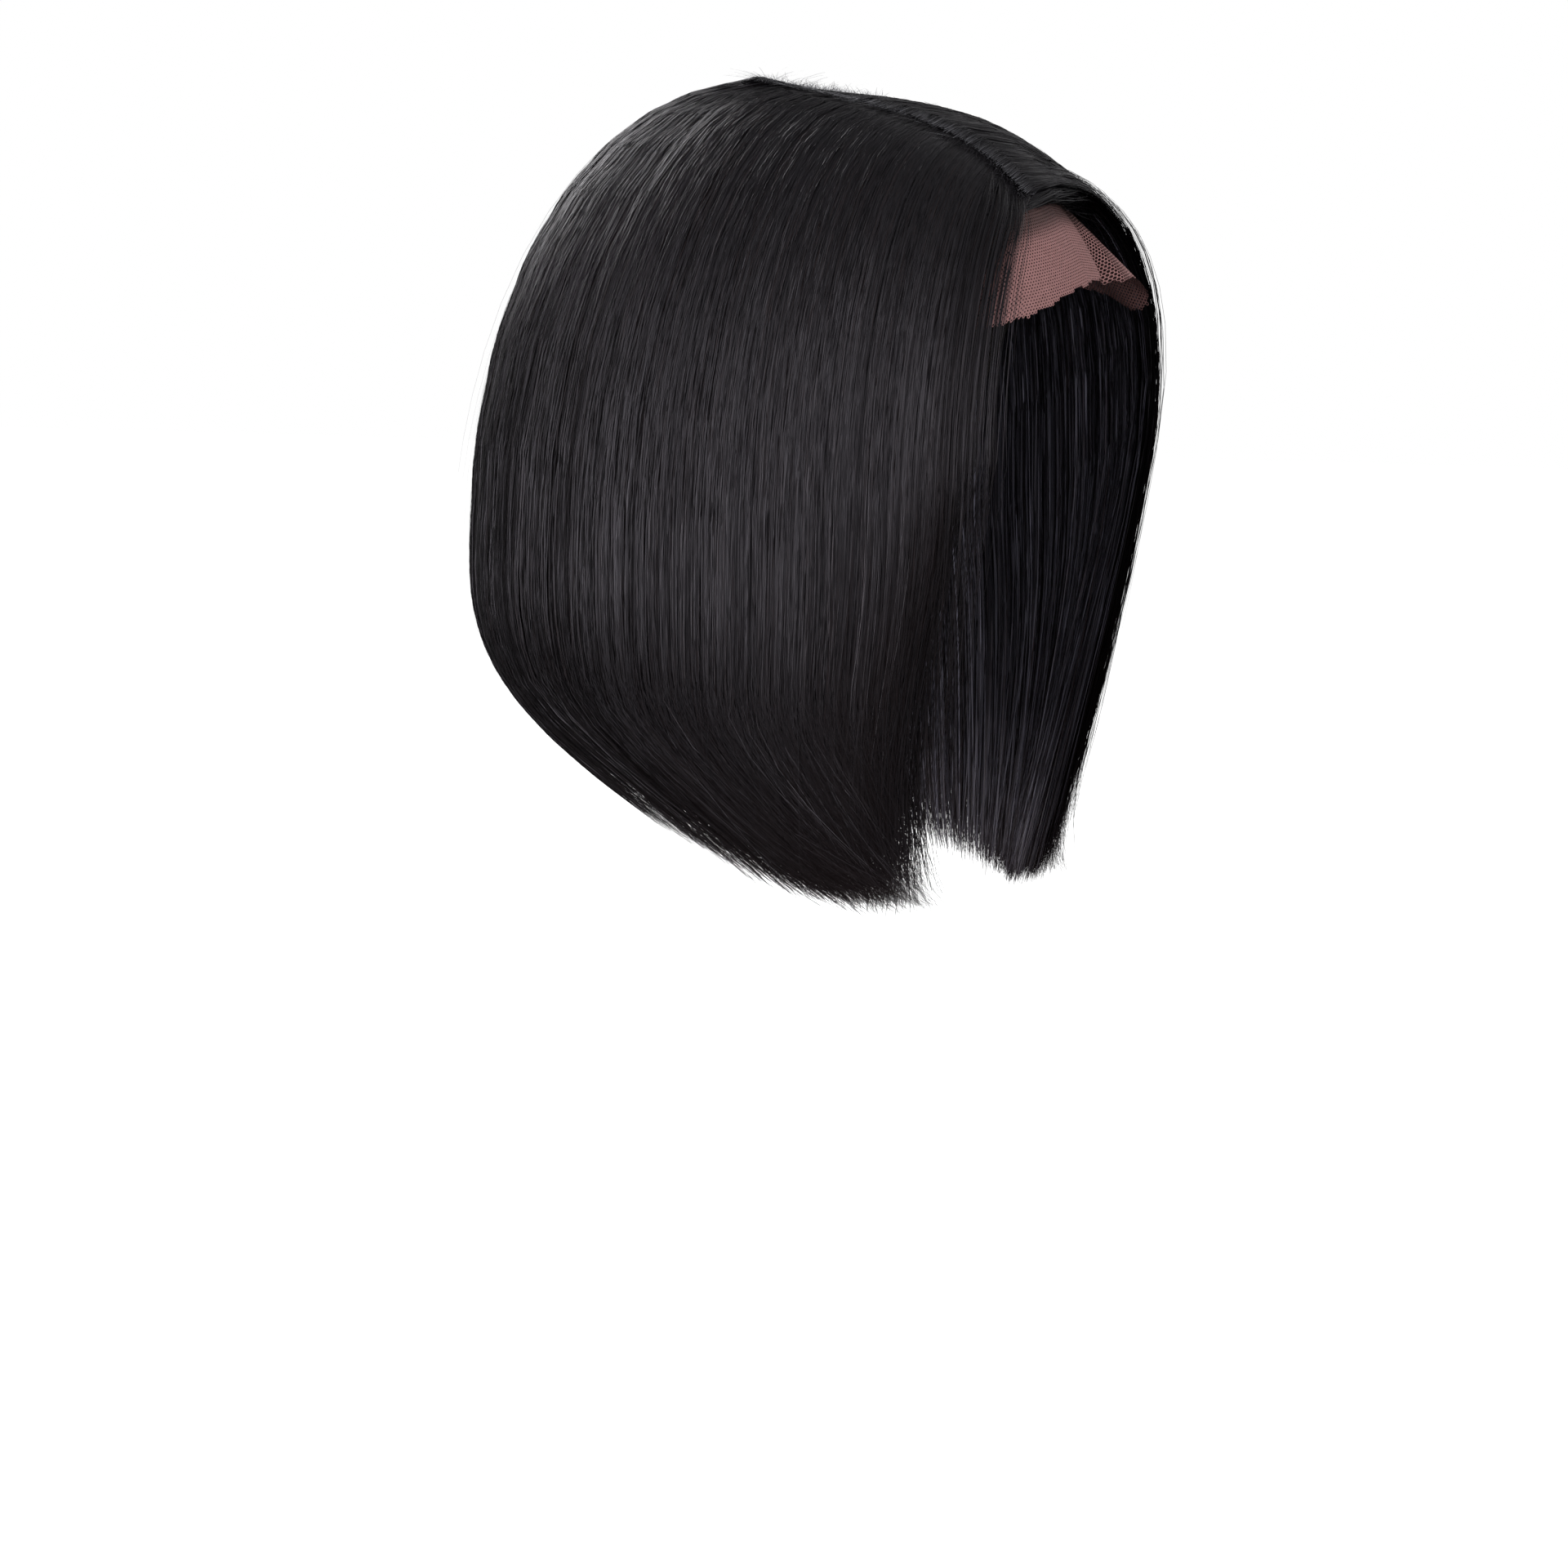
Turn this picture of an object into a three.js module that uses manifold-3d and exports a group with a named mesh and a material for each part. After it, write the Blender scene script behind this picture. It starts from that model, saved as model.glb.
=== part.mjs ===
// A lace front bob wig as it sits on a head: a net cap, a lace front with a free cut edge, and straight
// hair in three sections that fall from a parting. Millimetres, +Z up, the wearer faces -Y, so +X is the
// wearer's left. The origin is inside the cap at the crown, where the top of the head touches it.
import * as THREE from "three";
import { mergeVertices } from "three/addons/utils/BufferGeometryUtils.js";
import Module from "manifold-3d";

const wasm = await Module();
wasm.setup();

// Driving dimensions of the head that the cap is made for.
const headLength = 194;
const headWidth = 152;
const crownToWidest = 90; // drop from the crown to the widest level
const squareness = 2.3; // 2 is an ellipsoid, more is squarer

// Walls and gaps.
const capWall = 1.2;
const laceWall = 1;
const seatGap = 0.35; // between the hair and what it is tied to
const seamGap = 0.9; // between the edge of the cap and the edge of the lace

// The parting, a straight line that runs back from the hairline.
const partSide = -16; // to the wearer's right of the middle
const partFront = -78;
const partBack = 26;
const partHalfWidth = 1.5;
const partLiftFront = 3.4; // hair above the head at the two ends of the parting
const partLiftBack = 17;

// Depth of the hair mass at the parting and at the cut ends, and the line inside the head and neck that
// it is measured towards.
const rootDepth = 12;
const hemDepth = 8;
const coreBack = 8;
const coreTop = -70;
const liftPeak = 27 / 4; // brings the highest point of a strand's rise to its lift

// Locks: raised strips that follow the fall of the hair and end in a point.
const lockHeight = 2.6;
const lockLeast = 0.6; // share of that height of the lowest lock
const lockSpread = 0.6; // and how far the others rise above it
const swellFrom = 0.01; // stretch of the half wave that a lock's height follows from root to tip
const swellTo = 0.97;
const lockSpans = 3; // faces across one lock
const tipLongest = 0.04; // how far a tip passes the hem, as a share of the lower fall
const tipNotch = 0.035; // how far the notch between two tips stops short of it
const mergeWithin = 0.05; // slivers smaller than this are merged away
const weldWithin = 1e-3;

// Drop of the cap's rim below the crown, by the angle from the front.
const rimTable = [
  { angle: 0, drop: 21 },
  { angle: 25, drop: 25 },
  { angle: 45, drop: 42 },
  { angle: 62, drop: 76 },
  { angle: 75, drop: 114 },
  { angle: 90, drop: 107 },
  { angle: 108, drop: 118 },
  { angle: 140, drop: 148 },
  { angle: 180, drop: 158 },
];

// Clear space for the face and neck below the widest level: half width, and reach to the front and back.
const neckTable = [
  { drop: 90, half: 76, front: 97, back: 97 },
  { drop: 125, half: 75, front: 97, back: 93 },
  { drop: 165, half: 66, front: 97, back: 76 },
  { drop: 215, half: 58, front: 97, back: 62 },
  { drop: 310, half: 56, front: 97, back: 58 },
];

// Fall of the hair, from the front edge to the middle of the back. Each row is one strand: where it
// leaves the parting (0 front, 1 back), its widest point, its cut end, the squareness of its upper curve,
// how late it tucks in, how far it rises off the head, and the depth of the mass at its widest point.
const rightFall = [
  { along: 0.0, out: 74, back: -84, level: -120, hemOut: 66, hemBack: -58, hem: -278,
    full: 1.45, tuck: 0.8, lift: 2, depth: 6 },
  { along: 0.24, out: 97, back: -50, level: -145, hemOut: 80, hemBack: -40, hem: -276,
    full: 1.9, tuck: 2.0, lift: 3, depth: 24 },
  { along: 0.52, out: 106, back: -2, level: -156, hemOut: 84, hemBack: -4, hem: -270,
    full: 2.1, tuck: 2.3, lift: 4, depth: 30 },
  { along: 0.78, out: 104, back: 54, level: -160, hemOut: 73, hemBack: 36, hem: -257,
    full: 2.12, tuck: 2.4, lift: 4, depth: 34 },
  { along: 0.94, out: 70, back: 116, level: -162, hemOut: 43, hemBack: 66, hem: -250,
    full: 2.15, tuck: 2.4, lift: 0, depth: 42 },
  { along: 1.0, out: 0, back: 144, level: -164, hemOut: 0, hemBack: 78, hem: -248,
    full: 2.15, tuck: 2.4, lift: 0, depth: 44 },
];
const leftFall = [
  { along: 0.0, out: 80, back: -97, level: -104, hemOut: 70, hemBack: -60, hem: -288,
    full: 2.6, tuck: 1.2, lift: 6, depth: 6 },
  { along: 0.24, out: 98, back: -54, level: -140, hemOut: 80, hemBack: -40, hem: -284,
    full: 2.35, tuck: 2.0, lift: 9, depth: 22 },
  { along: 0.52, out: 106, back: -2, level: -156, hemOut: 84, hemBack: -4, hem: -275,
    full: 2.25, tuck: 2.3, lift: 9, depth: 30 },
  { along: 0.78, out: 104, back: 54, level: -160, hemOut: 73, hemBack: 36, hem: -259,
    full: 2.15, tuck: 2.4, lift: 6, depth: 34 },
  { along: 0.94, out: 70, back: 116, level: -162, hemOut: 43, hemBack: 66, hem: -250,
    full: 2.15, tuck: 2.4, lift: 0, depth: 42 },
  { along: 1.0, out: 0, back: 144, level: -164, hemOut: 0, hemBack: 78, hem: -248,
    full: 2.15, tuck: 2.4, lift: 0, depth: 44 },
];

// Shares of the way round: 0 is the right front edge, 1 the middle of the back, 2 the left front edge.
const sections = [
  { name: "hair_right", from: 0, to: 0.62, locks: 12, seed: 7 },
  { name: "hair_back", from: 0.623, to: 1.377, locks: 15, seed: 107 },
  { name: "hair_left", from: 1.38, to: 2, locks: 12, seed: 207 },
];
const fallRows = 14;
const rowSpread = 1.25; // over 1 sets the rows closer where the hair rounds the crown

// Folds of the lace, by the angle from the front, + to the wearer's left: how far its free edge stands
// off the forehead, and the edge's drop below the crown.
const laceFolds = [
  { angle: -52, standOff: 0, drop: 82 },
  { angle: -38, standOff: 0, drop: 75 },
  { angle: -25, standOff: 0, drop: 69.5 },
  { angle: -10, standOff: 0.5, drop: 62 },
  { angle: 2, standOff: 1.5, drop: 58.5 },
  { angle: 9, standOff: 3, drop: 58 },
  { angle: 13, standOff: 3, drop: 58 },
  { angle: 18, standOff: 7, drop: 57.5 },
  { angle: 25, standOff: 16, drop: 58 },
  { angle: 33, standOff: 24.5, drop: 64.5 },
  { angle: 38, standOff: 23, drop: 70 },
  { angle: 43, standOff: 16, drop: 64 },
  { angle: 49, standOff: 6, drop: 61 },
  { angle: 56, standOff: 0, drop: 71 },
];
const laceColumns = 48;
const laceRows = 7;
const laceScallop = 0.6; // the cut edge's waviness
const laceScallops = 9;
const laceCurl = 1.4; // over 1 keeps the lace close to the forehead near its seam
const foreheadDepth = 12; // clear space under the lace
const laceMargin = 0.02; // clear space past its edges, as a share of its size

const capColumns = 48;
const capRows = 9;
const neckRows = 8;
const neckSpread = 1.5;

const degrees = THREE.MathUtils.degToRad;

// One column of a table at a given key, straight between the rows.
function readTable(table, key, at, column) {
  const last = table.length - 1;
  const next = table.findIndex((row, index) => index > 0 && row[key] >= at);
  const high = next < 0 ? last : next;
  const below = table[high - 1];
  const above = table[high];
  const share = THREE.MathUtils.clamp((at - below[key]) / (above[key] - below[key]), 0, 1);
  return THREE.MathUtils.lerp(below[column], above[column], share);
}

// One column of a table with evenly spaced rows, on a smooth curve through them. The far end goes on as
// its mirror image.
function readCurve(table, share, column, mirrored) {
  const last = table.length - 1;
  const value = (index) => {
    if (index < 0) return 2 * table[0][column] - table[1][column];
    if (index > last) return mirrored ? -table[last - 1][column] : table[last - 1][column];
    return table[index][column];
  };
  const place = THREE.MathUtils.clamp(share, 0, 1) * last;
  const index = Math.min(Math.floor(place), last - 1);
  const [a, b, c, d] = [-1, 0, 1, 2].map((step) => value(index + step));
  const t = place - index;
  const squared = 2 * a - 5 * b + 4 * c - d;
  const cubed = 3 * b - a - 3 * c + d;
  return 0.5 * (2 * b + (c - a) * t + squared * t ** 2 + cubed * t ** 3);
}

// A point of the head form, grown outwards by an offset. The angle is 0 at the front and 90 on the
// wearer's left.
function headPoint(angle, drop, offset) {
  const ahead = Math.cos(angle) > 0;
  const widest = Math.max(drop, crownToWidest);
  const half = readTable(neckTable, "drop", widest, "half") + offset;
  const reach = readTable(neckTable, "drop", widest, ahead ? "front" : "back") + offset;
  const rise = Math.max(crownToWidest - drop, 0) / crownToWidest;
  const shrink = (1 - rise ** squareness) ** (1 / squareness);
  const across = Math.abs(Math.sin(angle)) / half;
  const along = Math.abs(Math.cos(angle)) / reach;
  const radius = shrink / (across ** squareness + along ** squareness) ** (1 / squareness);
  const lifted = rise * (crownToWidest + offset) - crownToWidest;
  const z = drop < crownToWidest ? lifted : -drop;
  return new THREE.Vector3(radius * Math.sin(angle), -radius * Math.cos(angle), z);
}

// Height of the head above the level of its origin, under a point of the parting.
function headTop(x, y) {
  const across = Math.abs((2 * x) / headWidth) ** squareness;
  const along = Math.abs((2 * y) / headLength) ** squareness;
  return crownToWidest * ((1 - across - along) ** (1 / squareness) - 1);
}

// A closed solid between two grids of points with the same rows and columns. A wrapped sheet joins its
// last column to its first.
function sheetSolid(outer, inner, wrapped = false) {
  const rows = outer.length;
  const columns = outer[0].length;
  const points = [...outer.flat(), ...inner.flat()].flatMap((point) => point.toArray());
  const faces = [];
  const quad = (a, b, c, d) => faces.push(a, b, c, a, c, d);
  const at = (row, column, side) => side * rows * columns + row * columns + (column % columns);
  const spans = wrapped ? columns : columns - 1;
  for (let row = 0; row < rows - 1; row++) {
    for (let column = 0; column < spans; column++) {
      quad(at(row, column, 0), at(row + 1, column, 0), at(row + 1, column + 1, 0), at(row, column + 1, 0));
      quad(at(row, column, 1), at(row, column + 1, 1), at(row + 1, column + 1, 1), at(row + 1, column, 1));
    }
    if (wrapped) continue;
    const last = columns - 1;
    quad(at(row, 0, 0), at(row, 0, 1), at(row + 1, 0, 1), at(row + 1, 0, 0));
    quad(at(row, last, 0), at(row + 1, last, 0), at(row + 1, last, 1), at(row, last, 1));
  }
  for (let column = 0; column < spans; column++) {
    const last = rows - 1;
    quad(at(0, column, 0), at(0, column + 1, 0), at(0, column + 1, 1), at(0, column, 1));
    quad(at(last, column, 0), at(last, column, 1), at(last, column + 1, 1), at(last, column + 1, 0));
  }
  const sheet = new THREE.BufferGeometry();
  sheet.setAttribute("position", new THREE.Float32BufferAttribute(points, 3));
  sheet.setIndex(faces);
  return toSolid(sheet);
}

// Points that coincide, as at a pole, are welded and their empty triangles dropped. Faces that point
// inwards are turned.
function toSolid(geometry) {
  const welded = mergeVertices(geometry, weldWithin);
  const faces = [];
  for (let i = 0; i < welded.index.count; i += 3) {
    const [a, b, c] = [0, 1, 2].map((corner) => welded.index.getX(i + corner));
    if (a !== b && b !== c && c !== a) faces.push(a, b, c);
  }
  const vertProperties = welded.attributes.position.array;
  const build = (corners) =>
    new wasm.Manifold(new wasm.Mesh({ numProp: 3, vertProperties, triVerts: new Uint32Array(corners) }));
  const solid = build(faces);
  return solid.volume() > 0 ? solid : build(faces.reverse());
}

function toMesh(name, solid, material) {
  const { vertProperties, triVerts } = solid.getMesh();
  const geometry = new THREE.BufferGeometry();
  geometry.setAttribute("position", new THREE.BufferAttribute(vertProperties, 3));
  geometry.setIndex(new THREE.BufferAttribute(triVerts, 1));
  geometry.computeVertexNormals();
  const mesh = new THREE.Mesh(geometry, material);
  mesh.name = name;
  return mesh;
}

// A grid of rows by columns from a function of two shares, each from 0 to 1.
function grid(rows, columns, point) {
  return Array.from({ length: rows }, (_, row) =>
    Array.from({ length: columns }, (_, column) => point(row / (rows - 1), column / (columns - 1))),
  );
}

// Rings of the head form from the crown down to the cap's rim and, if asked, on down past the neck.
function headRings(offset, withNeck) {
  const ring = (dropAt) =>
    Array.from({ length: capColumns }, (_, column) => {
      const angle = (column / capColumns) * 2 * Math.PI - Math.PI;
      const fromFront = Math.abs(THREE.MathUtils.radToDeg(angle));
      const rim = readTable(rimTable, "angle", fromFront, "drop");
      return headPoint(angle, dropAt(rim), offset);
    });
  const rings = [];
  for (let row = 0; row <= capRows; row++) {
    const share = (row / capRows) ** squareness;
    rings.push(ring((rim) => rim * share));
  }
  const neckEnd = neckTable.at(-1).drop;
  for (let row = 1; withNeck && row <= neckRows; row++) {
    const share = (row / neckRows) ** neckSpread;
    rings.push(ring((rim) => THREE.MathUtils.lerp(rim, neckEnd, share)));
  }
  return rings;
}

function capSolid() {
  return sheetSolid(headRings(capWall, false), headRings(0, false), true);
}

// The space that the hair leaves for the head, the cap and the neck.
function headSpace() {
  const rings = headRings(capWall + seatGap, true);
  const floor = new THREE.Vector3(0, 0, -neckTable.at(-1).drop);
  return sheetSolid(rings, rings.map((ring) => ring.map(() => floor)), true);
}

// A point of the lace, from its sewn edge at the cap's rim (0) to its free edge (1), at a height over its
// underside.
function lacePoint(run, across, height) {
  const first = laceFolds[0].angle;
  const final = laceFolds.at(-1).angle;
  const angle = THREE.MathUtils.lerp(first, final, across);
  const held = THREE.MathUtils.clamp(angle, first, final);
  const next = Math.max(laceFolds.findIndex((fold) => fold.angle >= held), 1);
  const gap = laceFolds[next].angle - laceFolds[next - 1].angle;
  const share = (next - 1 + (held - laceFolds[next - 1].angle) / gap) / (laceFolds.length - 1);
  const standOff = Math.max(readCurve(laceFolds, share, "standOff", false), 0);
  const scallop = laceScallop * Math.sin(2 * Math.PI * across * laceScallops);
  const edge = readCurve(laceFolds, share, "drop", false) + scallop;
  const rim = readTable(rimTable, "angle", Math.abs(angle), "drop") + seamGap;
  const point = headPoint(degrees(angle), THREE.MathUtils.lerp(rim, edge, run), height);
  point.y -= standOff * Math.max(run, 0) ** laceCurl;
  return point;
}

function laceGrid(height, margin = 0) {
  const widen = (share) => THREE.MathUtils.lerp(-margin, 1 + margin, share);
  return grid(laceRows, laceColumns, (run, across) => lacePoint(widen(run), widen(across), height));
}

function laceSolid() {
  return sheetSolid(laceGrid(laceWall), laceGrid(0));
}

// The space that the hair leaves for the lace and for the forehead under it.
function laceSpace() {
  return sheetSolid(laceGrid(laceWall + 2 * seatGap, laceMargin), laceGrid(-foreheadDepth, laceMargin));
}

// A point of the hair's outer form. Round goes from 0 at the right front edge to 2 at the left, and run
// from 0 at the parting through 1 at the widest point to 2 at the cut end.
function hairPoint(round, run) {
  const left = round > 1;
  const table = left ? leftFall : rightFall;
  const share = left ? 2 - round : round;
  const hand = left ? 1 : -1;
  const read = (column, mirrored = false) => readCurve(table, share, column, mirrored);
  const along = Math.min(read("along"), 1);
  const x = partSide - partHalfWidth * Math.cos((Math.PI * round) / 2);
  const y = THREE.MathUtils.lerp(partFront, partBack, along);
  const lifted = THREE.MathUtils.lerp(partLiftFront, partLiftBack, along ** 3);
  const root = new THREE.Vector3(x, y, headTop(x, y) + lifted);
  const widest = new THREE.Vector3(hand * read("out", true), read("back"), read("level"));
  const end = new THREE.Vector3(hand * read("hemOut", true), read("hemBack"), read("hem"));
  const full = read("full");
  const turn = (Math.min(run, 1) * Math.PI) / 2;
  const outward = Math.sin(turn) ** (2 / full);
  const downward = 1 - Math.max(Math.cos(turn), 0) ** (2 / full);
  const lower = Math.max(run - 1, 0);
  const tucked = lower ** read("tuck");
  const rise = read("lift") * liftPeak * outward * (1 - outward) ** 2;
  return new THREE.Vector3(
    root.x + (widest.x - root.x) * outward + (end.x - widest.x) * tucked,
    root.y + (widest.y - root.y) * outward + (end.y - widest.y) * tucked,
    root.z + (widest.z - root.z) * downward + (end.z - widest.z) * lower + rise,
  );
}

// The same point moved into the hair mass, towards the middle of the head or neck.
function hairInside(round, run, depth) {
  const point = hairPoint(round, run);
  const core = new THREE.Vector3(0, coreBack, Math.min(point.z, coreTop));
  return point.add(core.sub(point).setLength(depth));
}

// Depth of the hair mass: least at the parting and at the cut ends.
function hairDepth(round, run) {
  const table = round > 1 ? leftFall : rightFall;
  const widest = readCurve(table, round > 1 ? 2 - round : round, "depth", false);
  if (run < 1) return THREE.MathUtils.lerp(Math.min(rootDepth, widest), widest, run);
  return THREE.MathUtils.lerp(widest, Math.min(hemDepth, widest), run - 1);
}

// A hair section: its locks and the backing that they are fused to, less the space for head and lace.
function hairSolid({ from, to, locks, seed }, spaces) {
  const columns = locks * lockSpans + 1;
  const place = (across) => THREE.MathUtils.lerp(from, to, across);
  const lockAt = (across) => {
    const count = Math.round(across * (columns - 1));
    const vary = THREE.MathUtils.seededRandom(seed + Math.floor(count / lockSpans));
    return { crest: Math.sin((Math.PI * (count % lockSpans)) / lockSpans), vary };
  };
  const outer = grid(fallRows, columns, (down, across) => {
    const { crest, vary } = lockAt(across);
    const swell = Math.sqrt(Math.sin(Math.PI * THREE.MathUtils.lerp(swellFrom, swellTo, down)));
    const end = 2 + (crest > 0 ? tipLongest * vary : -tipNotch);
    const height = lockHeight * crest * swell * (lockLeast + lockSpread * vary);
    return hairInside(place(across), end * down ** rowSpread, -height);
  });
  const inner = grid(fallRows, columns, (down, across) => {
    const { crest } = lockAt(across);
    const run = (2 - (crest > 0 ? 0 : tipNotch)) * down ** rowSpread;
    return hairInside(place(across), run, hairDepth(place(across), run));
  });
  const mass = spaces.reduce((left, space) => left.subtract(space), sheetSolid(outer, inner));
  return mass.simplify(mergeWithin);
}

const netCloth = new THREE.MeshStandardMaterial({ color: 0x2a211d, roughness: 0.9, metalness: 0 });
const laceCloth = new THREE.MeshStandardMaterial({ color: 0x8f6f63, roughness: 0.85, metalness: 0 });
const hairBlack = new THREE.MeshStandardMaterial({ color: 0x17151a, roughness: 0.42, metalness: 0 });

const wig = new THREE.Group();
wig.add(toMesh("cap", capSolid(), netCloth));
wig.add(toMesh("lace_front", laceSolid(), laceCloth));
const spaces = [headSpace(), laceSpace()];
for (const section of sections) wig.add(toMesh(section.name, hairSolid(section, spaces), hairBlack));

export default wig;
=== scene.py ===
import math

import bmesh
import bpy
import numpy as np
from mathutils import Matrix, Vector


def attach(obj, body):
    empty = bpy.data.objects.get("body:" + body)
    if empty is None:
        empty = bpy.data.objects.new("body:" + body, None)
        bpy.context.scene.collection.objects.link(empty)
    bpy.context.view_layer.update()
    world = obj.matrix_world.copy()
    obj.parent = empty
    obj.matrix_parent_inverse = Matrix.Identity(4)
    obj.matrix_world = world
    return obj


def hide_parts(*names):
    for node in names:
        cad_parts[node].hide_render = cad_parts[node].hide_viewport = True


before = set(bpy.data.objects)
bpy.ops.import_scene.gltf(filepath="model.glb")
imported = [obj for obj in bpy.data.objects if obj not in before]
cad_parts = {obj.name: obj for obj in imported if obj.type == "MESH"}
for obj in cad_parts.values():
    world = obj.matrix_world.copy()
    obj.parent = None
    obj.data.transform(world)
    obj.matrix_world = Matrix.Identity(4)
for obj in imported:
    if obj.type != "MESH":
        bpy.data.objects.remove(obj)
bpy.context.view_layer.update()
print("frame loaded:", ", ".join(sorted(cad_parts)))

mm = 0.001  # the forms below are worked out in millimetres, as the solids were
draw = np.random.default_rng(12)

# Inside form of the cap, and the room kept free below it. Drops are measured down from the crown,
# angles from the front.
headForm = {
    "length": 194,
    "width": 152,
    "crownToWidest": 90,
    "squareness": 2.3,
    "rimAngle": [0, 25, 45, 62, 75, 90, 108, 140, 180],
    "rimDrop": [21, 25, 42, 76, 114, 107, 118, 148, 158],
    "neckDrop": [90, 125, 165, 215, 310],
    "neckHalf": [76, 75, 66, 58, 56],
    "neckFront": [97, 97, 97, 97, 97],
    "neckBack": [97, 93, 76, 62, 58],
}

# The parting, and the fall of the hair on either side of it. Each column of a fall is one strand, from the
# front edge to the middle of the back: where it leaves the parting, its widest point, its cut end, the
# squareness of its upper curve, how late it tucks in, its rise beside the parting and the hair's depth.
parting = {
    "side": -16,
    "front": -78,
    "back": 26,
    "halfWidth": 1.5,
    "liftFront": 3.4,
    "liftBack": 17,
    "rootDepth": 12,
    "hemDepth": 8,
}
rightFall = {
    "along": [0, 0.24, 0.52, 0.78, 0.94, 1],
    "out": [74, 97, 106, 104, 70, 0],
    "back": [-84, -50, -2, 54, 116, 144],
    "level": [-120, -145, -156, -160, -162, -164],
    "hemOut": [66, 80, 84, 73, 43, 0],
    "hemBack": [-58, -40, -4, 36, 66, 78],
    "hem": [-278, -276, -270, -257, -250, -248],
    "full": [1.45, 1.9, 2.1, 2.12, 2.15, 2.15],
    "tuck": [0.8, 2.0, 2.3, 2.4, 2.4, 2.4],
    "lift": [-1.5, -0.5, 2, 4, 0, 0],
    "depth": [6, 24, 30, 34, 42, 44],
}
leftFall = {
    **rightFall,
    "out": [80, 98, 106, 104, 70, 0],
    "back": [-97, -54, -2, 54, 116, 144],
    "level": [-104, -140, -156, -160, -162, -164],
    "hemOut": [70, 80, 84, 73, 43, 0],
    "hemBack": [-60, -40, -4, 36, 66, 78],
    "hem": [-288, -284, -275, -259, -250, -248],
    "full": [2.6, 2.35, 2.25, 2.15, 2.15, 2.15],
    "tuck": [1.2, 2.0, 2.3, 2.4, 2.4, 2.4],
    "lift": [6, 9, 7.5, 4, 0, 0],
    "depth": [6, 22, 30, 34, 42, 44],
}
liftScale = 27 / 4  # the top of the lift curve is then 1
core = {"back": 8, "top": -70}  # upright line inside, that the hair is thickened towards


def unit(vectors):
    return vectors / np.maximum(np.linalg.norm(vectors, axis=-1, keepdims=True), 1e-9)


def blend(start, end, share):
    return start + (end - start) * share


def ease(low, high, value):
    share = np.clip((value - low) / (high - low), 0, 1)
    return share * share * (3 - 2 * share)


# A smooth curve through evenly spaced values. Past the last one it goes on as a mirror image.
def curveThrough(values, share, mirrored=False):
    row = np.array(values, float)
    beyond = -row[-2] if mirrored else row[-2]
    padded = np.concatenate([[2 * row[0] - row[1]], row, [beyond]])
    place = np.clip(share, 0, 1) * (len(row) - 1)
    first = np.minimum(place.astype(int), len(row) - 2)
    t = place - first
    a, b, c, d = (padded[first + step] for step in range(4))
    return 0.5 * (2 * b + (c - a) * t + (2 * a - 5 * b + 4 * c - d) * t**2 + (3 * b - a - 3 * c + d) * t**3)


# Half width, and reach to the front or the back, of the form at a level.
def formReach(level, isFront, offset):
    half = np.interp(level, headForm["neckDrop"], headForm["neckHalf"]) + offset
    front = np.interp(level, headForm["neckDrop"], headForm["neckFront"])
    back = np.interp(level, headForm["neckDrop"], headForm["neckBack"])
    return half, np.where(isFront, front, back) + offset


def headPoint(angle, drop, offset):
    n, height = headForm["squareness"], headForm["crownToWidest"]
    half, reach = formReach(np.maximum(drop, height), np.cos(angle) > 0, offset)
    rise = np.maximum(height - drop, 0) / height
    shrink = (1 - rise**n) ** (1 / n)
    around = (np.abs(np.sin(angle)) / half) ** n + (np.abs(np.cos(angle)) / reach) ** n
    radius = shrink / around ** (1 / n)
    z = np.where(drop < height, rise * (height + offset) - height, -drop)
    return np.stack(np.broadcast_arrays(radius * np.sin(angle), -radius * np.cos(angle), z), -1)


# Points inside the form are pushed out to a gap from it.
def clearOfHead(points, gap):
    n, height = headForm["squareness"], headForm["crownToWidest"]
    x, y, z = np.moveaxis(points, -1, 0)
    half, reach = formReach(np.maximum(-z, height), y < 0, gap)
    rise = np.maximum(z + height, 0) / (height + gap)
    inside = (np.abs(x) / half) ** n + (np.abs(y) / reach) ** n + rise**n
    grow = np.maximum(np.maximum(inside, 1e-6) ** (-1 / n), 1)
    lifted = np.where(z > -height, (z + height) * grow - height, z)
    return np.stack([x * grow, y * grow, lifted], -1)


def headTop(x, y):
    n = headForm["squareness"]
    spread = np.abs(2 * x / headForm["width"]) ** n + np.abs(2 * y / headForm["length"]) ** n
    return headForm["crownToWidest"] * ((1 - spread) ** (1 / n) - 1)


# Around goes from 0 at the right front edge through 1 at the back's middle to 2 at the left front edge.
# Run goes from 0 at the parting through 1 at the widest point to 2 at the cut end.
def readFall(around):
    isLeft = around > 1
    share = np.where(isLeft, 2 - around, around)

    def read(key, mirrored=False):
        right = curveThrough(rightFall[key], share, mirrored)
        return np.where(isLeft, curveThrough(leftFall[key], share, mirrored), right)

    return read, np.where(isLeft, 1.0, -1.0)


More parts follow.
